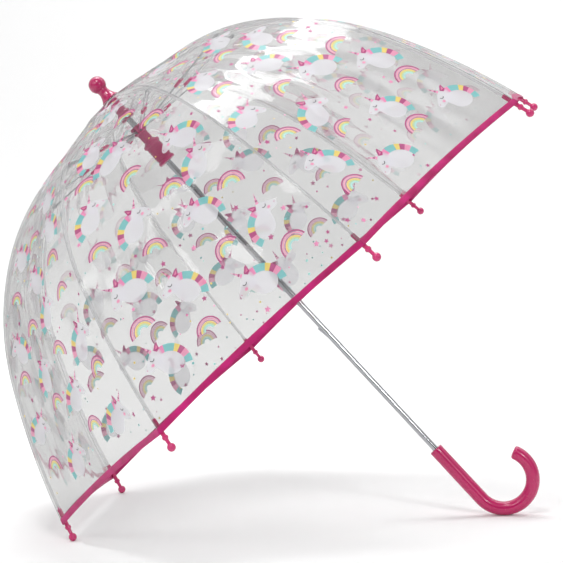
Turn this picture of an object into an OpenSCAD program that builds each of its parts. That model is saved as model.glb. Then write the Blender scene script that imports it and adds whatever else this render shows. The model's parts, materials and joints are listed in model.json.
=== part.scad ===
// Child's clear dome umbrella, open and resting on two rib tips and the hook of its handle.
// Units are millimetres and +Z is up. The floor is Z = 0.
// The shaft frame has its origin at the ferrule ball. Stations t run down the shaft to the handle,
// and a heading is an angle below the plane square to the shaft, seen from the crown outwards.

/* [Pose] */
// angle of the shaft below the horizontal as it rests
tilt = 48.2; // [46:0.1:50]

/* [Shaft and handle] */
// outer radius of the steel tube
shaft_r = 3.5; // [3.2:0.1:3.8]
// wall of the steel tube
shaft_wall = 0.6; // [0.5:0.1:0.8]
// station where the handle grip starts
grip_t = 550; // [545:1:556]
// radius of the handle grip
grip_r = 7.7; // [7.4:0.1:8]
// centreline radius of the hook
hook_r = 32.5; // [30:0.5:35]
// turn of the hook from the straight grip to its end
hook_turn = 204; // [190:1:215]
// station of the lower catch
low_catch_t = 364; // [358:1:370]
// station of the upper catch
top_catch_t = 154; // [150:1:160]

/* [Ferrule and crown] */
// radius of the ferrule ball
ferrule_ball_r = 9.75; // [9:0.25:10.5]
// radius of the ferrule foot on the film
ferrule_foot_r = 11; // [10.5:0.25:11.5]
// outer radius of the crown
crown_r = 8.2; // [8:0.1:8.6]

/* [Runner] */
// radius of the runner tube
runner_tube_r = 6; // [5.9:0.1:6.3]
// radius of the runner's finger grip
runner_grip_r = 8.8; // [8.4:0.2:9.4]
// radius of the two end flanges of the finger grip
runner_flange_r = 10.4; // [10:0.2:10.8]

/* [Ribs] */
// radius of a rib rod
rod_r = 1.5; // [1.4:0.05:1.6]
// length from a crown pivot to a joiner pivot, and from there to a runner pivot
link = 147; // [145:0.5:149]
// radius of the twin wires of a stretcher
wire_r = 0.65; // [0.6:0.05:0.7]
// radius of a tip ball
tip_ball_r = 4.4; // [4.2:0.1:4.6]

/* [Canopy] */
// heading of the film where it leaves the ferrule
film_h0 = 11; // [10:0.5:12]
// length of the straight top of the film's outline
film_top = 102; // [100:0.5:104]
// radius of the first arc of the outline
film_r1 = 245; // [240:1:250]
// turn of the first arc
film_d1 = 24; // [23.5:0.25:24.5]
// radius of the second arc
film_r2 = 294; // [290:1:300]
// turn of the second arc
film_d2 = 26; // [25.5:0.25:26.5]
// radius of the third arc
film_r3 = 765; // [740:5:790]
// turn of the third arc, down to the hem
film_d3 = 12.4; // [12:0.1:12.8]
// thickness of the film
film_th = 0.6; // [0.5:0.05:0.7]
// width of the hem binding
hem_w = 7; // [6:0.5:8]

/* [Hidden] */
$fn = 48;
panels = 8;
half = 180 / panels;
first = 180 - half;
crown_pivot_r = 6.5;
crown_t = 48;
runner_t = 69;
fold_r = crown_pivot_r;

// A state is [r, t, heading]. These walk along a line or an arc that curves down, or step inwards.
function go_line(s, d) = [s[0] + d * cos(s[2]), s[1] + d * sin(s[2]), s[2]];
function arc_c(s, R) = [s[0] - R * sin(s[2]), s[1] + R * cos(s[2])];
function go_arc(s, R, d) = let (c = arc_c(s, R), h = s[2] + d) [c[0] + R * sin(h), c[1] - R * cos(h), h];
function inward(s, g) = [s[0] - g * sin(s[2]), s[1] + g * cos(s[2]), s[2]];

// outer outline of the film along a rib
film_t = 21.5;
f0 = [ferrule_foot_r, film_t, film_h0];
f1 = go_line(f0, film_top);
f2 = go_arc(f1, film_r1, film_d1);
f3 = go_arc(f2, film_r2, film_d2);
f4 = go_arc(f3, film_r3, film_d3);

// The rib runs level from the crown, bends at the joiner and then follows the film from inside.
rib_gap = 3.8;
g1 = inward(f1, rib_gap);
g2 = inward(f2, rib_gap);
g3 = inward(f3, rib_gap);
rr1 = film_r1 - rib_gap;
rr2 = film_r2 - rib_gap;
rr3 = film_r3 - rib_gap;
join_h = 22;
knee1_h = 31;
knee2_h = 57;
join = go_arc(g1, rr1, join_h - film_h0);
join_tan = (join[1] - crown_t) / sin(join_h);
join_r = join_tan / tan(join_h / 2);
level = join[0] - join_tan * cos(join_h) - join_tan - crown_pivot_r;
knee1 = go_arc(g1, rr1, knee1_h - film_h0);
knee2 = go_arc(g2, rr2, knee2_h - film_h0 - film_d1);
rod_end = go_arc(g3, rr3, film_d3 - 0.2);
ball = go_line(inward(f4, rib_gap), 16);

// the joiner pivot makes two equal sides with the crown pivot and the runner pivot
joint_t = (crown_t + runner_t) / 2;
joint_r = fold_r + sqrt(link * link - pow(joint_t - crown_t, 2));
stretch_up = asin((runner_t - joint_t) / link);

// clearances and small sizes
pin_r = 0.6;
pin_gap = 0.06;
blade_w = 1.3;
cheek_w = 0.75;
cheek_gap = 0.15;
knuckle_r = 2.1;
wire_near = 0.85;
wire_wide = 2.575;
flare = 30;
eye_w = 1.8;
eye_r = 1.8;
ring_r = 0.5;
slot_w = 2.5;
catch_w = 1.8;
catch_out = 1.5;

// resting height: the hook's centre is set level with the two lower tips
tip_low = -cos(half) * ball[0] * cos(tilt) - ball[1] * sin(tilt) - tip_ball_r;
hook_t = (hook_r * cos(tilt) - hook_r - grip_r - tip_low) / sin(tilt);
far_h = atan(cos(half) * sin(tilt) / cos(tilt));
far = go_arc(f2, film_r2, far_h - film_h0 - film_d1);
x_low = far[1] * cos(tilt) - far[0] * cos(half) * sin(tilt);
x_tip = ball[1] * cos(tilt) + ball[0] * cos(half) * sin(tilt) + tip_ball_r;
x_hook = hook_r * sin(tilt) + hook_t * cos(tilt) + hook_r + grip_r;
x_mid = (x_low + max(x_tip, x_hook)) / 2;

// shaft frame to row frame
module place()
{
    translate([-x_mid, 0, -tip_low])
    rotate([0, tilt - 90, 0])
    children();
}

// rib number k, with X outwards, Y around and -Z down the shaft
module at_rib(k)
{
    place()
    rotate([0, 0, first - 2 * half * k])
    children();
}

// turned part given by points [radius, station]
module turned(p)
{
    rotate_extrude()
    polygon([for (q = p) [q[0], -q[1]]]);
}

// tube between two stations
module collar(r, bore, t0, t1)
{
    turned([[bore, t0], [r, t0], [r, t1], [bore, t1]]);
}

// round rod along a straight stretch of a path
module rod_line(s, d, r)
{
    translate([s[0], 0, -s[1]])
    rotate([0, 90 + s[2], 0])
    cylinder(r = r, h = d, $fn = 32);
}

// round rod along an arc of a path
module rod_arc(s, R, d, r)
{
    c = arc_c(s, R);
    translate([c[0], 0, -c[1]])
    rotate([90, 0, 0])
    rotate([0, 0, 90 - s[2] - d])
    rotate_extrude(angle = d)
    translate([R, 0])
    circle(r = r, $fn = 32);
}

// puts its children at a path state, with X along the heading
module at_state(s)
{
    translate([s[0], 0, -s[1]])
    rotate([0, s[2], 0])
    children();
}

// crimped sleeve round a rod, where the film is tied to it
module crimp(s)
{
    at_state(s)
    rotate([0, 90, 0])
    cylinder(r = rod_r + 0.25, h = 4, center = true, $fn = 32);
}

// disc on the Y axis
module disc(r, w)
{
    rotate([90, 0, 0])
    cylinder(r = r, h = w, center = true);
}

// flat tongue with a pin hole, running from the pivot along X for a length
module tongue(len, w, r, hole, high)
{
    difference()
    {
        union()
        {
            disc(r, w);
            translate([0, -w / 2, -high / 2])
            cube([len, w, high]);
        }
        disc(hole, w + 2);
    }
}

// two cheeks with a pin, running from the pivot along -X for a length
module fork(len)
{
    for (side = [-1, 1])
    {
        translate([0, side * (blade_w / 2 + cheek_gap + cheek_w / 2), 0])
        {
            disc(knuckle_r, cheek_w);
            translate([-len, -cheek_w / 2, -1.3])
            cube([len, cheek_w, 2.6]);
        }
    }
    translate([-len, -blade_w / 2 - cheek_gap - 0.1, -1.3])
    cube([len - 2.7, blade_w + 2 * cheek_gap + 0.2, 2.6]);
    disc(pin_r, blade_w + 2 * cheek_gap + 2 * cheek_w);
}

module ferrule()
{
    color([0.66, 0.1, 0.33])
    place()
    difference()
    {
        union()
        {
            sphere(r = ferrule_ball_r);
            turned([[0, 7.4], [6.4, 7.4], [6, 9.5], [6.2, 12], [7.3, 15.5], [9.2, 19], [ferrule_foot_r - 0.4, 20.4],
                [ferrule_foot_r - 0.4, film_t - 0.3], [0, film_t - 0.3]]);
        }
        collar(shaft_r + 0.02, 0, 6, film_t + 1);
    }
}

// clamps the film from inside, under the ferrule
module film_washer()
{
    color([0.9, 0.9, 0.92, 0.6])
    place()
    collar(9.5, shaft_r + 0.02, film_t + film_th + 0.3, film_t + film_th + 1.5);
}

// notched top piece that holds the inner ends of the ribs
module crown()
{
    color([0.8, 0.3, 0.5])
    place()
    difference()
    {
        union()
        {
            collar(6.2, 0, film_t + film_th + 1.6, 42.5);
            turned([[0, 40.5], [6.6, 40.5], [crown_r, 42.5], [crown_r, 51.2], [0, 51.2]]);
        }
        collar(shaft_r + 0.02, 0, 20, 60);
        translate([0, 0, -crown_t])
        rotate_extrude()
        translate([crown_pivot_r, 0])
        circle(r = ring_r + 0.05, $fn = 24);
        for (k = [0:panels - 1])
        {
            rotate([0, 0, first - 2 * half * k])
            translate([4.5, -slot_w / 2, -60])
            cube([6, slot_w, 60 - crown_t + 2.1]);
        }
    }
}

// wire ring through the eyes of the ribs
module crown_ring()
{
    color([0.75, 0.75, 0.78])
    place()
    translate([0, 0, -crown_t])
    rotate_extrude()
    translate([crown_pivot_r, 0])
    circle(r = ring_r, $fn = 24);
}

module shaft()
{
    color([0.78, 0.79, 0.82])
    place()
    difference()
    {
        collar(shaft_r, shaft_r - shaft_wall, 7.5, grip_t + 27);
        translate([0, -1.1, -top_catch_t - 31])
        cube([6, 2.2, 32]);
        translate([-6, -1.1, -low_catch_t - 15])
        cube([6, 2.2, 16]);
    }
}

// sprung wedge that stands out of a slot in the shaft, with its ledge facing the crown
module wedge(len)
{
    rotate([90, 0, 0])
    linear_extrude(height = catch_w, center = true)
    polygon([[0.9, 0], [shaft_r + catch_out, 0], [shaft_r + catch_out, -2], [shaft_r + 0.1, -len], [0.9, -len]]);
}

module top_catch()
{
    color([0.7, 0.71, 0.74])
    place()
    translate([0, 0, -top_catch_t])
    wedge(29.5);
}

module low_catch()
{
    color([0.7, 0.71, 0.74])
    place()
    translate([0, 0, -low_catch_t])
    mirror([1, 0, 0])
    wedge(13.5);
}

module handle()
{
    color([0.78, 0.2, 0.43])
    place()
    difference()
    {
        union()
        {
            turned([[0, grip_t], [grip_r - 0.6, grip_t], [grip_r, grip_t + 0.6], [grip_r, hook_t], [0, hook_t]]);
            translate([hook_r, 0, -hook_t])
            rotate([90, 0, 0])
            rotate([0, 0, 180])
            rotate_extrude(angle = hook_turn)
            translate([hook_r, 0])
            circle(r = grip_r);
            translate([hook_r, 0, -hook_t])
            rotate([0, 180 - hook_turn, 0])
            translate([-hook_r, 0, 0])
            cylinder(r1 = grip_r, r2 = grip_r - 1.2, h = 2.5);
        }
        collar(shaft_r + 0.02, 0, grip_t - 1, grip_t + 28);
    }
}

// slides on the shaft and carries the inner ends of the stretchers
module runner()
{
    color([0.74, 0.12, 0.38])
    place()
    difference()
    {
        union()
        {
            turned([[0, 62.6], [7.6, 62.6], [crown_r, 63.4], [crown_r, 71.2], [runner_tube_r, 73], [0, 73]]);
            collar(runner_tube_r, 0, 72, 90);
            turned([[0, 84], [runner_tube_r, 84], [runner_flange_r - 0.8, 87], [runner_flange_r, 87.4],
                [runner_flange_r, 90], [runner_grip_r, 91.5], [runner_grip_r, 110.5], [runner_flange_r, 112],
                [runner_flange_r, 114.4], [runner_flange_r - 0.8, 115], [0, 115]]);
            for (t = [94:3.2:108])
            {
                collar(runner_grip_r + 0.5, 0, t, t + 1.3);
            }
        }
        collar(shaft_r + 0.06, 0, 60, 120);
        for (side = [0, 180])
        {
            rotate([0, 0, side])
            translate([0, -1.3, -120])
            cube([shaft_r + catch_out + 0.25, 2.6, 60]);
        }
        translate([0, 0, -runner_t])
        rotate_extrude()
        translate([fold_r, 0])
        circle(r = ring_r + 0.05, $fn = 24);
        for (k = [0:panels - 1])
        {
            rotate([0, 0, first - 2 * half * k])
            translate([4.5, -slot_w / 2, -runner_t - 2.1])
            cube([6, slot_w, 12]);
        }
    }
}

// wire ring through the eyes of the stretchers
module runner_ring()
{
    color([0.75, 0.75, 0.78])
    place()
    translate([0, 0, -runner_t])
    rotate_extrude()
    translate([fold_r, 0])
    circle(r = ring_r, $fn = 24);
}

// inner length of a rib, with the joiner moulded round it
module rib_upper(k)
{
    start = [crown_pivot_r, crown_t, 0];
    bend = go_line(start, level);
    color([0.93, 0.93, 0.95])
    at_rib(k)
    difference()
    {
        union()
        {
            translate([crown_pivot_r, 0, -crown_t])
            tongue(5.5, eye_w, eye_r, ring_r + 0.25, 2.6);
            rod_line([crown_pivot_r + 4.9, crown_t, 0], level - 4.9, rod_r);
            rod_arc(bend, join_r, join_h, rod_r);
            crimp(bend);
            rod_arc(join, rr1, knee1_h - join_h - 0.7, rod_r);
            at_state(knee1)
            rotate([0, 180, 0])
            tongue(3.6, blade_w, knuckle_r, pin_r + pin_gap, 2.6);
            joiner();
        }
        at_state(knee1)
        disc(pin_r + pin_gap, 8);
        translate([joint_r, 0, -joint_t])
        disc(pin_r + pin_gap, 8);
    }
}

// sleeve on the rib with a lug that takes the stretcher's pin
module joiner()
{
    start = [crown_pivot_r, crown_t, 0];
    bend = go_line(start, level);
    turn = join_h * (joint_r - bend[0]) / (join[0] - bend[0]);
    rod_arc(go_arc(bend, join_r, turn - 3.5), join_r, 7, 2);
    translate([joint_r, 0, -joint_t])
    disc(2.3, 3.4);
    translate([joint_r - 2.3, -1.7, -joint_t])
    cube([4.6, 3.4, 2.4]);
}

// middle length of a rib, between the two knees
module rib_mid(k)
{
    s1 = go_arc(knee1, rr1, 0.85);
    s2 = go_arc(knee2, rr2, -0.7);
    color([0.93, 0.93, 0.95])
    at_rib(k)
    {
        at_state(knee1)
        rotate([0, 180, 0])
        fork(3.9);
        rod_arc(s1, rr1, g2[2] - s1[2], rod_r);
        rod_arc(g2, rr2, s2[2] - g2[2], rod_r);
        crimp(g2);
        at_state(knee2)
        rotate([0, 180, 0])
        tongue(3.7, blade_w, knuckle_r, pin_r + pin_gap, 2.6);
    }
}

// outer length of a rib, out to its tip
module rib_lower(k)
{
    s1 = go_arc(knee2, rr2, 0.7);
    color([0.93, 0.93, 0.95])
    at_rib(k)
    {
        at_state(knee2)
        rotate([0, 180, 0])
        fork(3.9);
        rod_arc(s1, rr2, g3[2] - s1[2], rod_r);
        rod_arc(g3, rr3, film_d3 - 0.3, rod_r);
        crimp(g3);
    }
}

// twin-wire strut from the runner out to a joiner
module stretcher(k)
{
    slant = atan((wire_wide - wire_near) / (flare - 9));
    color([0.72, 0.73, 0.76])
    at_rib(k)
    translate([fold_r, 0, -runner_t])
    rotate([0, -stretch_up, 0])
    {
        tongue(8.8, eye_w, eye_r, ring_r + 0.25, 2.2);
        translate([8, -wire_near - wire_r - 0.15, -1.1])
        cube([2.5, 2 * wire_near + 2 * wire_r + 0.3, 2.2]);
        for (side = [-1, 1])
        {
            translate([9, side * wire_near, 0])
            rotate([0, 0, side * slant])
            rotate([0, 90, 0])
            cylinder(r = wire_r, h = (flare - 9) / cos(slant), $fn = 24);
            translate([flare, side * wire_wide, 0])
            rotate([0, 90, 0])
            cylinder(r = wire_r, h = link - flare - 6, $fn = 24);
            translate([link, side * wire_wide, 0])
            disc(2, cheek_w);
            translate([link - 9, side * wire_wide - cheek_w / 2, -0.8])
            cube([9, cheek_w, 1.6]);
        }
        translate([flare - 1.2, -wire_wide - wire_r - 0.15, -0.9])
        cube([2.4, 2 * wire_wide + 2 * wire_r + 0.3, 1.8]);
        translate([link, 0, 0])
        disc(pin_r, 2 * wire_wide + cheek_w);
    }
}

// moulded cap on the end of a rib, bored along the chord of the rod's end
module tip(k)
{
    bore_drop = 18 * 18 / (2 * rr3);
    bore_lean = asin(11 / rr3);
    color([0.82, 0.2, 0.45])
    at_rib(k)
    at_state(ball)
    difference()
    {
        union()
        {
            sphere(r = tip_ball_r, $fn = 32);
            rotate([0, -90, 0])
            rotate_extrude()
            polygon([[0, 0], [2, 0], [1.9, 8], [2.3, 9.5], [3.3, 10.5], [3.3, 12.6], [2.35, 13.5], [2.35, 32.6],
                [2.05, 33.4], [0, 33.4]]);
        }
        translate([-34, 0, -bore_drop])
        rotate([0, 90 - bore_lean, 0])
        cylinder(r = rod_r + 0.08, h = 18.6, $fn = 32);
    }
}

// points of the film outline between two offsets, as [r, t] pairs from the ferrule to the hem
function outline(g) = concat(
    [[4.6, film_t + g], [ferrule_foot_r - g * tan(film_h0 / 2), film_t + g]],
    [for (i = [0:6]) let (s = inward(go_arc(f1, film_r1, film_d1 * i / 6), g)) [s[0], s[1]]],
    [for (i = [1:6]) let (s = inward(go_arc(f2, film_r2, film_d2 * i / 6), g)) [s[0], s[1]]],
    [for (i = [1:6]) let (s = inward(go_arc(f3, film_r3, film_d3 * i / 6), g)) [s[0], s[1]]]);
function backwards(p) = [for (i = [len(p) - 1:-1:0]) p[i]];
function squeezed(p) = [for (q = p) [q[0] * cos(half), -q[1]]];

// one gore of film from the ferrule to the hem, with its length of hem binding
module panel(k)
{
    reach = 420;
    shift = 0.16 / sin(half);
    hem_top = go_line(f4, -hem_w);
    band = [inward(hem_top, -0.5), inward(f4, -0.5), inward(f4, film_th + 0.25), inward(hem_top, film_th + 0.25)];
    color([0.9, 0.93, 0.96, 0.35])
    place()
    rotate([0, 0, first - half - 2 * half * k])
    intersection()
    {
        rotate([90, 0, 0])
        linear_extrude(height = 400, center = true)
        union()
        {
            polygon(squeezed(concat(outline(0), backwards(outline(film_th)))));
            polygon(squeezed([for (s = band) [s[0], s[1]]]));
        }
        translate([0, 0, -reach])
        linear_extrude(height = reach)
        polygon([[shift, 0], [reach, (reach - shift) * tan(half)], [reach, (shift - reach) * tan(half)]]);
    }
}

ferrule();
film_washer();
crown();
crown_ring();
shaft();
top_catch();
low_catch();
handle();
runner();
runner_ring();
for (k = [0:panels - 1])
{
    rib_upper(k);
    rib_mid(k);
    rib_lower(k);
    stretcher(k);
    tip(k);
    panel(k);
}
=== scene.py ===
import bpy
import json
import math
import random
from mathutils import Matrix, Vector, noise
from mathutils.geometry import tessellate_polygon


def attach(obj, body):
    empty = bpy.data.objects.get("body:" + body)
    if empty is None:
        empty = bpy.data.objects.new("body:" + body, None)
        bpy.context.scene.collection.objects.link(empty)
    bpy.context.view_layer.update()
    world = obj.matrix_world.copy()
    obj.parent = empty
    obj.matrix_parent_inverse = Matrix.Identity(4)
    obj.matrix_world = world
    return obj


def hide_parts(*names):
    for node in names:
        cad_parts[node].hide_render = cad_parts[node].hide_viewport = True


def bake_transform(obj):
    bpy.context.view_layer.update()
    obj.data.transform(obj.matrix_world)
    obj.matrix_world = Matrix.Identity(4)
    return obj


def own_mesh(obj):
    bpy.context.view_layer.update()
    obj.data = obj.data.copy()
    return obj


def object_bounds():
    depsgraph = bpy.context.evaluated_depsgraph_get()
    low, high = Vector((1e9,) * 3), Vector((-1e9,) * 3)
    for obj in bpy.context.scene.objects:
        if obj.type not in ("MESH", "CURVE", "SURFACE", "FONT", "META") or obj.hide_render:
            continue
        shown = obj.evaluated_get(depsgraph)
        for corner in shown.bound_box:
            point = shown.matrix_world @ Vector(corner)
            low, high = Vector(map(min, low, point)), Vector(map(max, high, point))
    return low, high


# Looks of a child's clear dome umbrella. Lengths are in millimetres, angles in degrees, and every
# mesh is in metres in the row frame. Lights, floor and camera are placed in metres.
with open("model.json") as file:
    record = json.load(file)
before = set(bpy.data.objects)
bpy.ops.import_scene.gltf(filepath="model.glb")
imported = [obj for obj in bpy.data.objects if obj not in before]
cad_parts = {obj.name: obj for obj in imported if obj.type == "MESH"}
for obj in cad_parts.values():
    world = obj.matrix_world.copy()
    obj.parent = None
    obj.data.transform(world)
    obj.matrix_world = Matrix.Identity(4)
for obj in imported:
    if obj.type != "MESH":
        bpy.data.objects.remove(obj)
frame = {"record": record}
CAD_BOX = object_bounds()
MM = 0.001
PANELS = 8
HALF = 180 / PANELS
COS_H, SIN_H = math.cos(math.radians(HALF)), math.sin(math.radians(HALF))

# ---------------------------------------------------------------- the shaft's frame
JOINTS = {j["name"]: j for j in frame["record"]["behaviour"]["joints"]}


def ring_middle(name):
    spots = [Vector(JOINTS[f"{name}_{k}"]["pos_m"]) for k in range(PANELS)]
    return sum(spots, Vector()) / PANELS


# A station, t, is a distance down the shaft from the middle of the ferrule's ball.
CROWN_T = 48.0
DOWN = (ring_middle("rib_bow") - ring_middle("rib_fold")).normalized()
SIDE = Vector((0, 1, 0))
UPWARD = SIDE.cross(-DOWN)
TOP = ring_middle("rib_fold") - DOWN * CROWN_T * MM


def around(angle):
    """Direction straight out from the shaft."""
    a = math.radians(angle)
    return UPWARD * math.cos(a) + SIDE * math.sin(a)


def across(angle):
    """Direction round the shaft, square to around(angle)."""
    a = math.radians(angle)
    return SIDE * math.cos(a) - UPWARD * math.sin(a)


def at(r, angle, t):
    """Point at radius r and station t, at an angle round the shaft."""
    return TOP + (around(angle) * r + DOWN * t) * MM


def rib_angle(k):
    return 180 - HALF - 2 * HALF * k


def gore_angle(k):
    return rib_angle(k) - HALF


# ---------------------------------------------------------------- outline of the film
# A straight run from the ferrule's foot, then three arcs, each a radius and a turn.
FIRST_HEAD, TOP_RUN, FOOT = 11.0, 102.0, (11.0, 21.5)
ARCS = ((245.0, 24.0), (294.0, 26.0), (765.0, 12.4))
LENGTH = TOP_RUN + sum(math.radians(d) * r for r, d in ARCS)
FILM_MID = 0.3
HEM_W, HEM_DIP = 7.0, 4.0
HEM_FADE, CROWN_FADE, TUCK_END = 40, 30, 170
WAVE_H, CREASE_H, TUCK_H = 2.2, 1.3, 1.2


def outline(v):
    """Radius, station and heading of the film's outline at a length v from the ferrule."""
    h = math.radians(FIRST_HEAD)
    r, t = FOOT
    run = min(v, TOP_RUN)
    r, t = r + run * math.cos(h), t + run * math.sin(h)
    left = v - TOP_RUN
    for radius, turn in ARCS:
        if left <= 0:
            break
        last = (radius, turn) == ARCS[-1]
        d = left / radius if last else min(left / radius, math.radians(turn))
        cr, ct = r - radius * math.sin(h), t + radius * math.cos(h)
        h += d
        r, t = cr + radius * math.sin(h), ct - radius * math.cos(h)
        left -= radius * d
        if left < 1e-6:
            break
    return r, t, h


def ripple(k, q, v):
    """Small unevenness of the film, nothing at the ribs and the hem."""
    free = (1 - q * q) * min(1, max(0, (LENGTH - v) / HEM_FADE)) * min(1, v / CROWN_FADE)
    spot = Vector((q * 1.6, v / 70, 5.3 * k))
    crease = noise.noise(Vector((q * 7.0, v / 190, 9.1 * k)))
    wave = noise.noise(spot) + 0.4 * noise.noise(spot * 2.7)
    tuck = max(0, 1 - v / TUCK_END) * math.cos(q * math.pi * 7.5 + k + 2 * wave)
    return free * (WAVE_H * wave + CREASE_H * crease + TUCK_H * tuck)


def film(k, q, v, lift=0.0):
    """Point on the film of gore k, q from -1 to 1 across and v along, raised by lift."""
    r, t, h = outline(v)
    flat = math.hypot(math.sin(h), math.cos(h) * COS_H)
    out, up = math.sin(h) / flat, math.cos(h) * COS_H / flat
    rise = lift - FILM_MID + ripple(k, q, v)
    mid, cross = around(gore_angle(k)), across(gore_angle(k))
    return TOP + (mid * (r * COS_H + out * rise) + cross * (q * r * SIN_H) + DOWN * (t - up * rise)) * MM


def film_normal(k, q, v):
    dq, dv = 0.01, 1.0
    sideways = film(k, q + dq, v) - film(k, q - dq, v)
    lengthways = film(k, q, v + dv) - film(k, q, v - dv)
    n = sideways.cross(lengthways).normalized()
    outward = around(gore_angle(k)) - DOWN
    return n if n.dot(outward) > 0 else -n


def half_width(v):
    """Half the width of a gore at a length v."""
    return outline(v)[0] * SIN_H


def edge(q):
    """Length at which the film ends, less between the ribs than on them."""
    return LENGTH - HEM_DIP * (1 - q * q)


# The film is cut near the crown and at the ribs' two knees, on lines that lead further down between the
# ribs. The knees are where the outline heads 31 and 57 degrees down.
FILM_START, CAP_END, NECK_END = 2.0, 32.0, 72.0
KNEE_HEADS = (31.0, 57.0)
LEAD = (27.0, 22.0)
BANDS = ("cap", "neck", "upper", "mid", "lower")
RIBS = ("upper", "mid", "lower")


def knees():
    """Lengths from the ferrule to the two knees, which lie on the first and the second arc."""
    found, start, head = [], TOP_RUN, FIRST_HEAD
    for (radius, turn), knee_head in zip(ARCS, KNEE_HEADS):
        found.append(start + math.radians(knee_head - head) * radius)
        start += math.radians(turn) * radius
        head += turn
    return found


KNEES = knees()


def cut(b, q):
    """Where band b starts on the film, at q across the gore."""
    if b < 3:
        return (FILM_START, CAP_END, NECK_END)[b]
    if b == 5:
        return edge(q)
    return KNEES[b - 3] + LEAD[b - 3] * (1 - abs(q))


def band_of(q, v):
    """Which band a point of the film belongs to."""
    return sum(v > cut(b, q) for b in (1, 2, 3, 4))


# ---------------------------------------------------------------- materials
def new_material(name):
    m = bpy.data.materials.new(name)
    m.use_nodes = True
    nt = m.node_tree
    nt.nodes.clear()
    out = nt.nodes.new("ShaderNodeOutputMaterial")
    return m, nt, out


def link(nt, a, b):
    nt.links.new(a, b)


def noise_node(nt, scale, detail=4.0):
    where = nt.nodes.new("ShaderNodeTexCoord")
    tex = nt.nodes.new("ShaderNodeTexNoise")
    tex.inputs["Scale"].default_value = scale
    tex.inputs["Detail"].default_value = detail
    link(nt, where.outputs["Object"], tex.inputs["Vector"])
    return tex


def ramp(nt, source, low, high):
    """Blends two colours over the middle part of a noise."""
    node = nt.nodes.new("ShaderNodeValToRGB")
    for stop, spot, colour in zip(node.color_ramp.elements, (0.3, 0.7), (low, high)):
        stop.position = spot
        stop.color = (*colour, 1)
    link(nt, source, node.inputs["Fac"])
    return node.outputs["Color"]


def span(nt, source, low, high):
    """Maps 0 to 1 onto low to high."""
    node = nt.nodes.new("ShaderNodeMapRange")
    node.inputs["To Min"].default_value = low
    node.inputs["To Max"].default_value = high
    link(nt, source, node.inputs["Value"])
    return node.outputs["Result"]


def bump(nt, source, strength, distance):
    node = nt.nodes.new("ShaderNodeBump")
    node.inputs["Strength"].default_value = strength
    node.inputs["Distance"].default_value = distance
    link(nt, source, node.inputs["Height"])
    return node.outputs["Normal"]


def plain(name, colour, spread, rough, grain, metallic=0.0, coat=0.0, strength=0.1, alpha=1.0):
    """Moulded plastic or metal: slight colour variation, uneven roughness and a fine bump."""
    m, nt, out = new_material(name)
    p = nt.nodes.new("ShaderNodeBsdfPrincipled")
    p.inputs["Metallic"].default_value = metallic
    p.inputs["Coat Weight"].default_value = coat
    p.inputs["Coat Roughness"].default_value = 0.06
    p.inputs["Alpha"].default_value = alpha
    broad = noise_node(nt, 14)
    fine = noise_node(nt, grain, 6)
    low = tuple(c * (1 - spread) for c in colour)
    high = tuple(min(1, c * (1 + spread)) for c in colour)
    link(nt, ramp(nt, broad.outputs["Fac"], low, high), p.inputs["Base Color"])
    link(nt, span(nt, fine.outputs["Fac"], rough[0], rough[1]), p.inputs["Roughness"])
    link(nt, bump(nt, fine.outputs["Fac"], strength, 0.0002), p.inputs["Normal"])
    link(nt, p.outputs["BSDF"], out.inputs["Surface"])
    return m


handle_pink = plain("handle_pink", (0.5, 0.006, 0.11), 0.06, (0.22, 0.3), 320, coat=0.5, strength=0.02)
tip_pink = plain("tip_pink", (0.55, 0.018, 0.14), 0.06, (0.2, 0.32), 500, coat=0.4)
ferrule_pink = plain("ferrule_pink", (0.42, 0.012, 0.1), 0.06, (0.18, 0.3), 400, coat=0.5)
runner_pink = plain("runner_pink", (0.5, 0.03, 0.15), 0.07, (0.24, 0.36), 400, coat=0.25)
clear_washer = plain("clear_washer", (0.86, 0.87, 0.9), 0.03, (0.15, 0.3), 400)
chrome = plain("polished_steel", (0.46, 0.47, 0.49), 0.04, (0.05, 0.1), 900, metallic=1.0, strength=0.008)
steel = plain("plated_wire", (0.55, 0.56, 0.58), 0.06, (0.22, 0.36), 900, metallic=1.0)
rib_white = plain("glass_fibre", (0.9, 0.9, 0.91), 0.04, (0.2, 0.34), 1200, coat=0.3, alpha=0.4)


MIRROR_SHARE = 0.6


def film_material(name, tint, milk, rough):
    """Clear film: mostly passes light, mirrors more at a grazing angle, and has a faint milky haze."""
    m, nt, out = new_material(name)
    through = nt.nodes.new("ShaderNodeBsdfTransparent")
    through.inputs["Color"].default_value = (*tint, 1)
    p = nt.nodes.new("ShaderNodeBsdfPrincipled")
    p.inputs["Base Color"].default_value = (0.9, 0.91, 0.93, 1)
    gloss = nt.nodes.new("ShaderNodeBsdfGlossy")
    haze = noise_node(nt, 26, 5)
    fine = noise_node(nt, 160, 3)
    blur = span(nt, haze.outputs["Fac"], rough[0], rough[1])
    ripples = bump(nt, fine.outputs["Fac"], 0.05, 0.0004)
    for shader in (p, gloss):
        link(nt, blur, shader.inputs["Roughness"])
        link(nt, ripples, shader.inputs["Normal"])
    mirror = nt.nodes.new("ShaderNodeFresnel")
    mirror.inputs["IOR"].default_value = 1.5
    clear = nt.nodes.new("ShaderNodeMixShader")
    link(nt, span(nt, mirror.outputs["Fac"], 0, MIRROR_SHARE), clear.inputs["Fac"])
    link(nt, through.outputs["BSDF"], clear.inputs[1])
    link(nt, gloss.outputs["BSDF"], clear.inputs[2])
    mix = nt.nodes.new("ShaderNodeMixShader")
    link(nt, span(nt, haze.outputs["Fac"], milk * 0.5, milk * 1.5), mix.inputs["Fac"])
    link(nt, clear.outputs["Shader"], mix.inputs[1])
    link(nt, p.outputs["BSDF"], mix.inputs[2])
    link(nt, mix.outputs["Shader"], out.inputs["Surface"])
    return m


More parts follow.
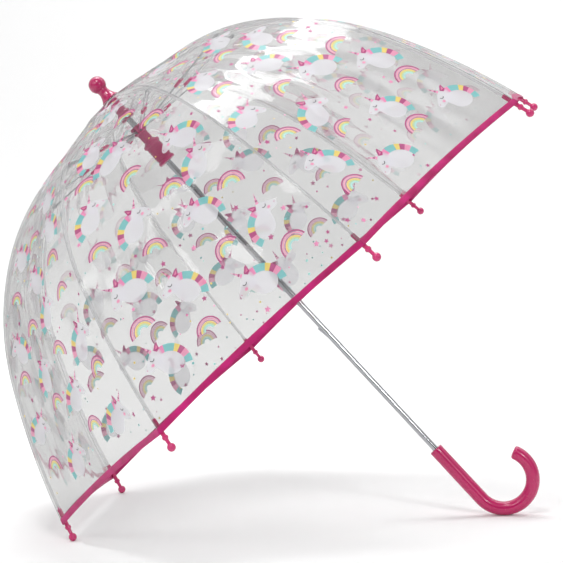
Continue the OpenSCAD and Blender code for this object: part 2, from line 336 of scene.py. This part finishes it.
clear_film = film_material("clear_film", (0.79, 0.79, 0.788), 0.02, (0.04, 0.12))
seam_film = film_material("welded_seam", (0.8, 0.8, 0.81), 0.1, (0.12, 0.25))


WHITE_COVER, INK_COVER = 0.42, 0.88
BACK_LIT_SHARE, FADE = 0.4, 0.45


def ink(name, colour):
    """Printing ink: thin, and paler where light comes through it. The white covers least."""
    m, nt, out = new_material("ink_" + name)
    p = nt.nodes.new("ShaderNodeBsdfPrincipled")
    p.inputs["Alpha"].default_value = WHITE_COVER if name == "white" else INK_COVER
    back_lit = nt.nodes.new("ShaderNodeBsdfTranslucent")
    both = nt.nodes.new("ShaderNodeMixShader")
    both.inputs["Fac"].default_value = BACK_LIT_SHARE
    tone = noise_node(nt, 900, 2)
    low = tuple(c * 0.94 for c in colour)
    shade = ramp(nt, tone.outputs["Fac"], low, colour)
    link(nt, shade, p.inputs["Base Color"])
    fade = FADE * max(colour)
    paler = tuple(c + (1 - c) * fade for c in colour)
    link(nt, ramp(nt, tone.outputs["Fac"], paler, paler), back_lit.inputs["Color"])
    link(nt, span(nt, tone.outputs["Fac"], 0.25, 0.4), p.inputs["Roughness"])
    link(nt, p.outputs["BSDF"], both.inputs[1])
    link(nt, back_lit.outputs["BSDF"], both.inputs[2])
    link(nt, both.outputs["Shader"], out.inputs["Surface"])
    return m


INKS = {
    "white": (0.9, 0.89, 0.95), "pink": (0.88, 0.19, 0.46), "magenta": (0.48, 0.015, 0.2),
    "teal": (0.16, 0.56, 0.56), "yellow": (0.9, 0.66, 0.06), "green": (0.5, 0.76, 0.3),
    "mint": (0.4, 0.78, 0.74), "black": (0.03, 0.02, 0.04), "blush": (0.88, 0.26, 0.46),
}
ink_names = list(INKS)
inks = [ink(n, c) for n, c in INKS.items()]


def ribbon_material():
    """Woven binding: fine cross ribs, from the piece's own UVs in millimetres."""
    m, nt, out = new_material("binding")
    p = nt.nodes.new("ShaderNodeBsdfPrincipled")
    p.inputs["Sheen Weight"].default_value = 0.1
    p.inputs["Specular IOR Level"].default_value = 0.25
    where = nt.nodes.new("ShaderNodeTexCoord")
    ribs = nt.nodes.new("ShaderNodeTexWave")
    ribs.inputs["Scale"].default_value = 0.35
    ribs.inputs["Distortion"].default_value = 0.4
    link(nt, where.outputs["UV"], ribs.inputs["Vector"])
    tone = noise_node(nt, 60, 5)
    colours = ramp(nt, tone.outputs["Fac"], (0.33, 0.004, 0.085), (0.52, 0.01, 0.165))
    link(nt, colours, p.inputs["Base Color"])
    link(nt, span(nt, tone.outputs["Fac"], 0.4, 0.55), p.inputs["Roughness"])
    link(nt, bump(nt, ribs.outputs["Fac"], 0.25, 0.0002), p.inputs["Normal"])
    link(nt, p.outputs["BSDF"], out.inputs["Surface"])
    return m


binding = ribbon_material()


# ---------------------------------------------------------------- mesh helpers
def faced(verts, faces, normals):
    """Turns each face so that it looks the way its first point's normal does."""
    turned = []
    for f in faces:
        n = (verts[f[1]] - verts[f[0]]).cross(verts[f[-1]] - verts[f[0]])
        turned.append(f if n.dot(normals[f[0]]) > 0 else tuple(reversed(f)))
    return turned


def make_mesh(name, verts, faces, materials, index=None, normals=None, uvs=None):
    mesh = bpy.data.meshes.new(name)
    if normals:
        faces = faced(verts, faces, normals)
    mesh.from_pydata([tuple(v) for v in verts], [], faces)
    for m in materials:
        mesh.materials.append(m)
    if index:
        mesh.polygons.foreach_set("material_index", index)
    if uvs:
        layer = mesh.uv_layers.new(name="UVMap")
        for loop in mesh.loops:
            layer.data[loop.index].uv = uvs[loop.vertex_index]
    mesh.polygons.foreach_set("use_smooth", [True] * len(faces))
    mesh.update()
    if normals:
        mesh.normals_split_custom_set_from_vertices([tuple(n) for n in normals])
    obj = bpy.data.objects.new(name, mesh)
    bpy.context.scene.collection.objects.link(obj)
    return obj


# Each rib holds the half gores on its two sides.
SIDES = ((1, "a"), (-1, "b"))


def gore_beside(k, sign):
    """The gore whose film reaches rib k at q = sign."""
    return k if sign > 0 else (k - 1) % PANELS


def bends(obj, k):
    """Bakes the piece's placement into its mesh; the cap's two ends on rib k are worked out but not used.
    """
    start, end = (tuple(at(r, rib_angle(k), t)) for r, t, _ in (outline(cut(0, 1)), outline(cut(1, 1))))
    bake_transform(obj)


def rib_under(k, b):
    """The length of rib k that band b of the film is held by."""
    return f"rib_{RIBS[max(0, b - 2)]}_{k}"


def gathers(obj, k, b):
    """The piece rides on its rib: it is attached to that rib length's body and given a mesh of its own.
    The band's ends are worked out but not used.
    """
    (r0, t0, _), (r1, t1, _) = outline(cut(b, 1)), outline(cut(b + 1, 1))
    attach(obj, rib_under(k, b))
    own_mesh(obj)


# ---------------------------------------------------------------- film
# Mesh cells across half a gore, and along each band.
COLUMNS = 14
ROWS = (14, 10, 20, 26, 36)


def film_piece(name, k, b, signs):
    """One band of film beside rib k, on one side or both, and its area."""
    verts, normals, faces = [], [], []
    for sign in signs:
        gore, base = gore_beside(k, sign), len(verts)
        for i in range(COLUMNS + 1):
            q = sign * i / COLUMNS
            lo, hi = cut(b, q), cut(b + 1, q)
            for j in range(ROWS[b] + 1):
                v = lo + (hi - lo) * j / ROWS[b]
                verts.append(film(gore, q, v))
                normals.append(film_normal(gore, q, v))
        step = ROWS[b] + 1
        for i in range(COLUMNS):
            for j in range(ROWS[b]):
                a = base + i * step + j
                faces.append((a, a + 1, a + step + 1, a + step))
    obj = make_mesh(name, verts, faces, [clear_film], None, normals)
    return obj, sum(f.area for f in obj.data.polygons)


# ---------------------------------------------------------------- printed motifs
# A motif is a list of shapes, each an ink and a closed outline, drawn one above the other.
def arc_points(cx, cy, r, a0, a1, n):
    angles = [math.radians(a0 + (a1 - a0) * i / n) for i in range(n + 1)]
    return [(cx + r * math.cos(a), cy + r * math.sin(a)) for a in angles]


def ring_part(colour, cx, cy, r0, r1, a0, a1, n=14):
    return (colour, arc_points(cx, cy, r1, a0, a1, n) + arc_points(cx, cy, r0, a1, a0, n))


def round_spot(colour, x, y, r, squash=1.0):
    turns = [2 * math.pi * i / 12 for i in range(12)]
    return (colour, [(x + r * math.cos(a), y + squash * r * math.sin(a)) for a in turns])


def softened(outline_2d):
    """Cuts the corners of a closed outline twice, so that it reads as a curve."""
    for _ in range(2):
        ahead = outline_2d[1:] + outline_2d[:1]
        outline_2d = [(a[0] + (b[0] - a[0]) * f, a[1] + (b[1] - a[1]) * f)
                      for a, b in zip(outline_2d, ahead) for f in (0.25, 0.75)]
    return outline_2d


def rainbow():
    """Six bows, each an ink, an outer radius and a width."""
    bows = (("magenta", 15.8, 1.7), ("blush", 13.6, 1.7), ("magenta", 11.3, 0.8), ("yellow", 10.1, 1.9),
            ("green", 7.9, 1.2), ("mint", 6.4, 2.0))
    return [ring_part(c, 0, -6, r - wide, r, 2 + i, 178 - i) for i, (c, r, wide) in enumerate(bows)]


def star(colour, size):
    pts = []
    for i in range(10):
        a = math.radians(90 + 36 * i)
        r = size if i % 2 == 0 else size * 0.45
        pts.append((r * math.cos(a), r * math.sin(a)))
    return [(colour, pts)]


# Middle of the neck's curve, which the banded mane follows.
NECK_X, NECK_Y = -6, -18


def mane():
    """Bands of the mane round the neck's back, each an ink and a turn."""
    shapes, a = [], 84
    colours = (("pink", 16), ("teal", 30), ("yellow", 14), ("magenta", 14), ("blush", 16), ("teal", 20))
    for colour, turn in colours:
        shapes.append(ring_part(colour, NECK_X, NECK_Y, 17.6, 25.6, a, a + turn, 6))
        a += turn
    return shapes


def horn():
    """Striped horn in five tapering pieces with gaps between them."""
    shapes = []
    base, tip, wide = Vector((4.0, 7.4)), Vector((11.2, 18.5)), Vector((1.7, -1.0))
    for i in range(5):
        f0, f1 = i / 5, (i + 0.8) / 5
        p0, p1 = base.lerp(tip, f0), base.lerp(tip, f1)
        w0, w1 = wide * (1 - f0), wide * (1 - f1)
        shapes.append(("magenta" if i % 2 else "pink",
                       [tuple(p0 - w0), tuple(p0 + w0), tuple(p1 + w1), tuple(p1 - w1)]))
    return shapes


def pony():
    """A plain horned pony's head: neck, head, banded mane, ear, horn, closed eye and cheek."""
    neck = arc_points(NECK_X, NECK_Y, 18.5, 176, 66, 8)
    neck += [(6.5, -6), (4.5, -13), (-1, -23), (-10, -26.5), (-19, -25)]
    head = [(-7, 4.5), (-3, 7.6), (2, 8.4), (7, 6.2), (12, 1.2), (16.5, -3.6), (18.8, -7), (18.4, -10.2),
            (15.6, -12), (11.5, -11.4), (6, -9.6), (0, -9.8), (-5, -6)]
    ear = [(-5.6, 6.2), (-6.4, 14.0), (-3.4, 12.6), (1.2, 7.6), (-2, 4.2)]
    inner_ear = [(-4.4, 7.4), (-4.8, 11.4), (-0.9, 7.4)]
    shapes = [("white", softened(neck))] + mane()
    shapes += [("white", softened(head)), ("magenta", ear), ("blush", inner_ear)] + horn()
    shapes.append(ring_part("black", 6.6, 0.6, 2.1, 2.9, 195, 345, 6))
    shapes.append(round_spot("blush", 8.6, -5.8, 2.0, 0.85))
    shapes.append(round_spot("magenta", 16.4, -7.4, 0.6))
    return shapes


# Large motifs stand in staggered rows, and small ones are scattered over what is left free.
FIRST_ROW, ROW_STEP, MOTIF_STEP, MOTIF_GAP = 80.0, 46, 56, 14
RIB_ROOM, HEM_ROOM, SMALL_ROOM = 26, 26, 7
PONY_REACH, RAINBOW_REACH, SMALL_REACH = 21, 16, 3.0
SCATTER_TRIES = 230


def large_motifs(rnd, seed):
    placed = []
    v, row = FIRST_ROW, seed
    while v < LENGTH - HEM_ROOM:
        width = 2 * half_width(v) - RIB_ROOM
        count = max(1, round((width + MOTIF_GAP) / MOTIF_STEP))
        for i in range(count):
            s = (i - (count - 1) / 2) * width / count + rnd.uniform(-4, 4)
            kind, reach = (pony, PONY_REACH) if (i + row) % 2 == 0 else (rainbow, RAINBOW_REACH)
            size = rnd.uniform(0.9, 1.06) * (0.75 if v < 100 else 1)
            spot = v + rnd.uniform(-6, 6)
            turn = rnd.uniform(-24, 24)
            placed.append((kind(), s, spot, turn, rnd.random() < 0.5, size, size * reach))
        v += ROW_STEP
        row += 1
    return placed


def small_motif(rnd):
    if rnd.random() < 0.3:
        return star(rnd.choice(("magenta", "pink", "magenta")), rnd.uniform(2.2, 3.8))
    return [round_spot(rnd.choice(("teal", "yellow", "mint", "pink")), 0, 0, rnd.uniform(0.7, 1.4))]


def spread_motifs(seed):
    """The motifs of one gore: shapes, across in mm, along in mm, turn, flip, scale and reach."""
    rnd = random.Random(seed)
    placed = large_motifs(rnd, seed)
    for _ in range(SCATTER_TRIES):
        v = rnd.uniform(CAP_END + 4, LENGTH - 2 * SMALL_ROOM)
        half = half_width(v) - SMALL_ROOM
        s = rnd.uniform(-half, half)
        if any(math.hypot(s - p[1], v - p[2]) < p[6] + SMALL_REACH + 1 for p in placed):
            continue
        shape = small_motif(rnd)
        placed.append((shape, s, v, rnd.uniform(-40, 40), False, 1.0, SMALL_REACH))
    return placed


def split_long(points, triangles, limit):
    """Splits triangles at their longest side until no side is longer than limit."""
    done, work = [], list(triangles)
    while work:
        a, b, c = work.pop()
        sides = [(math.dist(points[a], points[b]), a, b, c), (math.dist(points[b], points[c]), b, c, a),
                 (math.dist(points[c], points[a]), c, a, b)]
        far, p, q, o = max(sides)
        if far <= limit:
            done.append((a, b, c))
            continue
        points.append(((points[p][0] + points[q][0]) / 2, (points[p][1] + points[q][1]) / 2))
        m = len(points) - 1
        work += [(p, m, o), (m, q, o)]
    return done


# Ink lies above the film, each shape a little above the last, and keeps clear of seams and binding.
PRINT_LIFT, LAYER_LIFT, LONGEST_SIDE = 0.2, 0.035, 9.0
SEAM_LIMIT, PRINT_LIMIT = 0.965, 0.985
prints = {}


def add_print(gore, motif):
    """Adds a motif's triangles to the lists in prints, by rib, side and band."""
    shapes, s0, v0, turn, flip, size, _ = motif
    c, s = math.cos(math.radians(turn)), math.sin(math.radians(turn))
    for layer, (colour, outline_2d) in enumerate(shapes):
        pts = []
        for x, y in outline_2d:
            x = -x if flip else x
            pts.append((s0 + size * (x * c - y * s), v0 - size * (x * s + y * c)))
        tris = tessellate_polygon([[Vector((x, y, 0)) for x, y in pts]])
        tris = split_long(pts, [tuple(t) for t in tris], LONGEST_SIDE)
        lift = PRINT_LIFT + LAYER_LIFT * layer
        for tri in tris:
            mid_s = sum(pts[i][0] for i in tri) / 3
            mid_v = sum(pts[i][1] for i in tri) / 3
            q = mid_s / half_width(mid_v)
            if abs(q) > SEAM_LIMIT or mid_v > edge(q) - HEM_W - 0.5 or band_of(q, mid_v) == 0:
                continue
            key = (gore, 1) if q > 0 else ((gore + 1) % PANELS, -1)
            verts, faces, index, normals = prints.setdefault((*key, band_of(q, mid_v)), ([], [], [], []))
            base = len(verts)
            for i in tri:
                qi = max(-PRINT_LIMIT, min(PRINT_LIMIT, pts[i][0] / half_width(pts[i][1])))
                verts.append(film(gore, qi, pts[i][1], lift))
                normals.append(film_normal(gore, qi, pts[i][1]))
            faces.append((base, base + 1, base + 2))
            index.append(ink_names.index(colour))


for gore in range(PANELS):
    for motif in spread_motifs(gore * 3 + 1):
        add_print(gore, motif)


# ---------------------------------------------------------------- seams and binding
SEAM_EDGES = ((0.0, 0.18), (0.7, 0.18), (1.4, 0.05))


def seam_piece(name, k, b, signs):
    """A narrow welded strip along rib k; SEAM_EDGES are distances from the rib and heights."""
    verts, faces, normals = [], [], []
    rows = ROWS[b]
    for sign in signs:
        gore, base = gore_beside(k, sign), len(verts)
        for j in range(rows + 1):
            v = cut(b, 1) + (cut(b + 1, 1) - cut(b, 1)) * j / rows
            w = half_width(v)
            for d, lift in SEAM_EDGES:
                q = sign * (1 - d / w)
                verts.append(film(gore, q, v, lift))
                normals.append(film_normal(gore, q, v))
        for j in range(rows):
            for i in range(2):
                a = base + 3 * j + i
                faces.append((a, a + 1, a + 4, a + 3))
    return make_mesh(name, verts, faces, [seam_film], None, normals)


# The binding's cross-section: length past the film's edge, and height above the film.
HEM_SECTION = ((-HEM_W, 0.1), (-HEM_W + 0.4, 0.5), (-4.5, 0.62), (-1.2, 0.62), (-0.3, 0.45), (0.15, 0.0),
               (-0.3, -0.5), (-1.2, -0.7), (-4.5, -0.7), (-HEM_W + 0.4, -0.6), (-HEM_W, -0.2))
HEM_STEPS = 16


def hem_piece(name, k, sign):
    """Binding folded over the film's edge, from rib k to the middle of the gore."""
    n = len(HEM_SECTION)
    verts, faces, uvs, normals = [], [], [], []
    gore = gore_beside(k, sign)
    for step in range(HEM_STEPS + 1):
        q = sign * step / HEM_STEPS
        up = film_normal(gore, q, edge(q) - 2)
        fall = (film(gore, q, edge(q)) - film(gore, q, edge(q) - 2)).normalized()
        for i, (dv, lift) in enumerate(HEM_SECTION):
            verts.append(film(gore, q, edge(q) + dv, lift))
            uvs.append((q * half_width(LENGTH), dv if lift > 0 else -dv))
            (v0, l0), (v1, l1) = HEM_SECTION[i - 1], HEM_SECTION[(i + 1) % n]
            normals.append((up * (v1 - v0) - fall * (l1 - l0)).normalized())
    for j in range(HEM_STEPS):
        for i in range(n):
            a, b = j * n + i, j * n + (i + 1) % n
            faces.append((a, b, b + n, a + n))
    return make_mesh(name, verts, faces, [binding], None, normals, uvs)


def flat_sheet(b, share):
    """Works out share times half a gore's width at the lower end of band b, in metres; the result is not
    used.
    """
    widest = share * half_width(cut(b + 1, 0)) * MM


def cap_film(k):
    """The film under the ferrule, both sides of rib k in one sheet."""
    sheet, area = film_piece(f"film_cap_{k}", k, 0, (1, -1))
    seam = seam_piece(f"seam_cap_{k}", k, 0, (1, -1))
    bends(sheet, k)
    bends(seam, k)
    flat_sheet(0, 2)


def band_film(k, b, sign, side):
    """One band beside rib k with its seam, print and binding."""
    tag = f"{BANDS[b]}_{k}{side}"
    sheet, area = film_piece(f"film_{tag}", k, b, (sign,))
    extras = [seam_piece(f"seam_{tag}", k, b, (sign,))]
    if (k, sign, b) in prints:
        verts, faces, index, normals = prints[(k, sign, b)]
        extras.append(make_mesh(f"print_{tag}", verts, faces, inks, index, normals))
    if BANDS[b] == "lower":
        extras.append(hem_piece(f"binding_{k}{side}", k, sign))
    for piece in [sheet] + extras:
        gathers(piece, k, b)
    flat_sheet(b, 1)
    return sheet


for k in range(PANELS):
    cap_film(k)
    for b in range(1, len(BANDS)):
        for sign, side in SIDES:
            sheet = band_film(k, b, sign, side)
            if (BANDS[b], side) == ("upper", "a"):
                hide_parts(f"panel_{k}")

# ---------------------------------------------------------------- clips on the stretchers
# Station of the runner's pivots, and distance from there to the middle of a clip. The profile is places
# along the clip and how full it is there.
RUNNER_T, CLIP_AT = 69.0, 72.0
CLIP_HALF_W, CLIP_HALF_H, CLIP_ROUND, CLIP_SIDES = 4.0, 1.75, 0.6, 20
CLIP_PROFILE = ((-6.5, 0.55), (-6.2, 0.8), (-5.2, 0.95), (-4.2, 1.0),
                (4.2, 1.0), (5.2, 0.95), (6.2, 0.8), (6.5, 0.55))


def bulged(x):
    """Turns a circle's coordinate into a squarer oval's."""
    return math.copysign(abs(x) ** CLIP_ROUND, x)


def clip_piece(k):
    """Moulded sleeve that holds the two wires of stretcher k together, at its middle."""
    inner = Vector(JOINTS[f"rib_fold_{k}"]["pos_m"]) + DOWN * (RUNNER_T - CROWN_T) * MM
    outer = Vector(JOINTS[f"joiner_{k}"]["pos_m"])
    run = (outer - inner).normalized()
    cross = across(rib_angle(k))
    rise = run.cross(cross)
    middle = inner + run * CLIP_AT * MM
    n = CLIP_SIDES
    verts, faces = [], []
    for x, grow in CLIP_PROFILE:
        for i in range(n):
            a = 2 * math.pi * i / n
            y = CLIP_HALF_W * grow * bulged(math.cos(a))
            z = CLIP_HALF_H * grow * bulged(math.sin(a))
            verts.append(middle + (run * x + cross * y + rise * z) * MM)
    for j in range(len(CLIP_PROFILE) - 1):
        for i in range(n):
            a, b = j * n + i, j * n + (i + 1) % n
            faces.append((a, b, b + n, a + n))
    faces.append(tuple(range(n))[::-1])
    faces.append(tuple((len(CLIP_PROFILE) - 1) * n + i for i in range(n)))
    obj = make_mesh(f"clip_{k}", verts, faces, [tip_pink])
    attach(obj, f"stretcher_{k}")


for k in range(PANELS):
    clip_piece(k)

# ---------------------------------------------------------------- handle
GRIP_T, GRIP_R, HOOK_R, HOOK_TURN, END_RUN = 550.0, 7.7, 32.5, 204.0, 2.5
SOCKET_DEPTH, BORE_R, BORE_EDGE = 24.0, 3.52, 0.3
MOUTH_ROUND, END_ROUND = 1.2, 3.2
GRIP_SIDES, GRIP_RINGS, HOOK_RINGS = 48, 12, 60
NEARLY_NONE = 0.01


def handle_piece():
    """Straight grip and hook in one, softly rounded at its free end, with the socket for the shaft."""
    hook_t = (TOP.z / MM + UPWARD.z * HOOK_R - HOOK_R - GRIP_R) / -DOWN.z
    straight, curve = hook_t - GRIP_T, math.radians(HOOK_TURN) * HOOK_R
    total = straight + curve + END_RUN

    def along(s):
        """Centre of the grip at a length s down it, and the direction away from the hook's middle."""
        turn = max(0, min(s - straight, curve)) / HOOK_R
        over = max(0, s - straight - curve)
        middle = at(HOOK_R, 0, hook_t)
        heading = DOWN * math.cos(turn) + UPWARD * math.sin(turn)
        outward = -UPWARD * math.cos(turn) + DOWN * math.sin(turn)
        if s < straight:
            return at(0, 0, GRIP_T + s), outward
        return middle + (outward * HOOK_R + heading * over) * MM, outward

    rings = [(SOCKET_DEPTH, NEARLY_NONE), (SOCKET_DEPTH, BORE_R), (BORE_EDGE, BORE_R)]
    rings += [(0.0, BORE_R + BORE_EDGE), (0.0, GRIP_R - MOUTH_ROUND)]
    rings += [(MOUTH_ROUND - MOUTH_ROUND * math.cos(a), GRIP_R - MOUTH_ROUND + MOUTH_ROUND * math.sin(a))
              for a in (0.4, 0.8, 1.2, 1.571)]
    rings += [(straight * i / GRIP_RINGS, GRIP_R) for i in range(1, GRIP_RINGS + 1)]
    rings += [(straight + curve * i / HOOK_RINGS, GRIP_R) for i in range(1, HOOK_RINGS)]
    rings += [(total - END_ROUND + END_ROUND * math.sin(a), GRIP_R - END_ROUND + END_ROUND * math.cos(a))
              for a in (0, 0.26, 0.52, 0.79, 1.05, 1.31, 1.571)]
    rings += [(total + 0.12, 2.4), (total + 0.16, NEARLY_NONE)]
    n = GRIP_SIDES
    verts, faces = [], []
    for s, r in rings:
        centre, outward = along(s)
        for i in range(n):
            a = 2 * math.pi * i / n
            verts.append(centre + (outward * math.cos(a) + SIDE * math.sin(a)) * r * MM)
    for j in range(len(rings) - 1):
        for i in range(n):
            a, b = j * n + i, j * n + (i + 1) % n
            faces.append((a, a + n, b + n, b))
    obj = make_mesh("handle_grip", verts, faces, [handle_pink])
    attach(obj, "shaft")
    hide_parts("handle")


handle_piece()

# ---------------------------------------------------------------- materials of the CAD nodes
LOOKS = {
    "ferrule": ferrule_pink, "film_washer": clear_washer, "crown": runner_pink, "crown_ring": steel,
    "shaft": chrome, "top_catch": steel, "low_catch": steel, "runner": runner_pink, "runner_ring": steel,
}
for k in range(PANELS):
    LOOKS[f"tip_{k}"] = tip_pink
    LOOKS[f"stretcher_{k}"] = steel
    for length in RIBS:
        LOOKS[f"rib_{length}_{k}"] = rib_white
for name, look in LOOKS.items():
    node = bpy.data.objects[name]
    node.data.materials.clear()
    node.data.materials.append(look)

# ---------------------------------------------------------------- floor
REACH, RISE, BACK, BEND = 9.0, 4.0, 3.2, 1.5
PAPER = (0.87, 0.87, 0.87, 1)


def add_floor():
    """A sheet of paper that lies flat and sweeps up behind, in metres."""
    bend = [math.radians(a) for a in range(10, 91, 10)]
    sweep = [(-REACH, 0.0), (BACK, 0.0)]
    sweep += [(BACK + BEND * math.sin(a), BEND - BEND * math.cos(a)) for a in bend]
    sweep += [(BACK + BEND, RISE)]
    mesh = bpy.data.meshes.new("floor")
    mesh.from_pydata([(x, y, z) for y, z in sweep for x in (-REACH, REACH)], [],
                     [(2 * i, 2 * i + 1, 2 * i + 3, 2 * i + 2) for i in range(len(sweep) - 1)])
    mesh.polygons.foreach_set("use_smooth", [True] * len(mesh.polygons))
    floor = bpy.data.objects.new("floor", mesh)
    bpy.context.scene.collection.objects.link(floor)
    paper, nt, out = new_material("floor_paper")
    p = nt.nodes.new("ShaderNodeBsdfPrincipled")
    p.inputs["Roughness"].default_value = 0.7
    p.inputs["Base Color"].default_value = PAPER
    link(nt, p.outputs["BSDF"], out.inputs["Surface"])
    mesh.materials.append(paper)


add_floor()

# ---------------------------------------------------------------- camera
AZ, EL, ROLL = math.radians(7.2), math.radians(5.45), math.radians(-1.504)
DISTANCE, AIM_DOWN, LENS, SENSOR, SHIFT_Y = 2.544, 0.3, 146.95, 36, 0.0032


def add_camera():
    """Looks at a point on the shaft, from the front and slightly above, rolled a little."""
    back = Vector((math.sin(AZ) * math.cos(EL), -math.cos(AZ) * math.cos(EL), math.sin(EL)))
    level = Vector((math.cos(AZ), math.sin(AZ), 0))
    above = back.cross(level)
    right = level * math.cos(ROLL) + above * math.sin(ROLL)
    up = above * math.cos(ROLL) - level * math.sin(ROLL)
    turn = Matrix((right, up, back)).transposed().to_4x4()
    camera = bpy.data.objects.new("camera", bpy.data.cameras.new("camera"))
    bpy.context.scene.collection.objects.link(camera)
    camera.data.sensor_width = SENSOR
    camera.data.lens = LENS
    camera.data.shift_y = SHIFT_Y
    camera.data.clip_start = 0.05
    camera.matrix_world = Matrix.Translation(TOP + DOWN * AIM_DOWN + back * DISTANCE) @ turn
    bpy.context.scene.camera = camera


add_camera()

# ---------------------------------------------------------------- light
# Brightness of the studio from in front (0) to behind (1): dark behind the camera, then bright and dark
# bands that the polished shaft mirrors, then a white backdrop.
SKY_BANDS = ((0.0, 0.04), (0.05, 0.06), (0.09, 0.6), (0.2, 0.6), (0.3, 0.12), (0.42, 0.35),
             (0.55, 1.0), (1.0, 1.0))


def add_sky():
    world = bpy.data.worlds.new("studio")
    bpy.context.scene.world = world
    world.use_nodes = True
    sky = world.node_tree
    where = sky.nodes.new("ShaderNodeTexCoord")
    axes = sky.nodes.new("ShaderNodeSeparateXYZ")
    link(sky, where.outputs["Generated"], axes.inputs["Vector"])
    depth = span(sky, axes.outputs["Y"], 0, 1)
    depth.node.inputs["From Min"].default_value = -1
    bands = sky.nodes.new("ShaderNodeValToRGB")
    link(sky, depth, bands.inputs["Fac"])
    stops = bands.color_ramp.elements
    stops[0].position, stops[1].position = 0.0, 1.0
    for spot, tone in SKY_BANDS:
        stop = stops[0] if spot == 0 else stops[-1] if spot == 1 else stops.new(spot)
        stop.color = (tone, tone, tone, 1)
    link(sky, bands.outputs["Color"], sky.nodes["Background"].inputs["Color"])
    sky.nodes["Background"].inputs["Strength"].default_value = 1.0


add_sky()


def area_light(name, spot, aim, size, power):
    """A rectangular lamp at spot, turned to aim; metres and watts."""
    data = bpy.data.lights.new(name, "AREA")
    data.shape = "RECTANGLE"
    data.size, data.size_y = size
    data.energy = power
    obj = bpy.data.objects.new(name, data)
    bpy.context.scene.collection.objects.link(obj)
    obj.location = spot
    obj.rotation_mode = "QUATERNION"
    obj.rotation_quaternion = (Vector(aim) - Vector(spot)).to_track_quat("-Z", "Y")


MIDDLE = (CAD_BOX[0] + CAD_BOX[1]) / 2
area_light("key", (-0.2, -1.35, 2.35), MIDDLE, (0.5, 0.4), 17)
area_light("top", (-0.25, 0.65, 2.5), MIDDLE, (0.9, 0.6), 16)
area_light("strip", (-1.9, -1.4, 1.7), MIDDLE, (0.22, 1.4), 6)
area_light("glint", (1.75, -2.4, 1.5), MIDDLE + Vector((0.1, 0, -0.1)), (0.35, 0.5), 14)
area_light("near_floor", (-1.3, -2.6, 2.0), (-0.4, -0.5, 0), (1.2, 0.5), 14)
area_light("backdrop", (0, 1.3, 3.4), (0, 4.4, 1.0), (5, 1), 120)
bpy.context.scene.view_settings.view_transform = "Standard"

# ---------------------------------------------------------------- last update of the scene
bpy.context.view_layer.update()
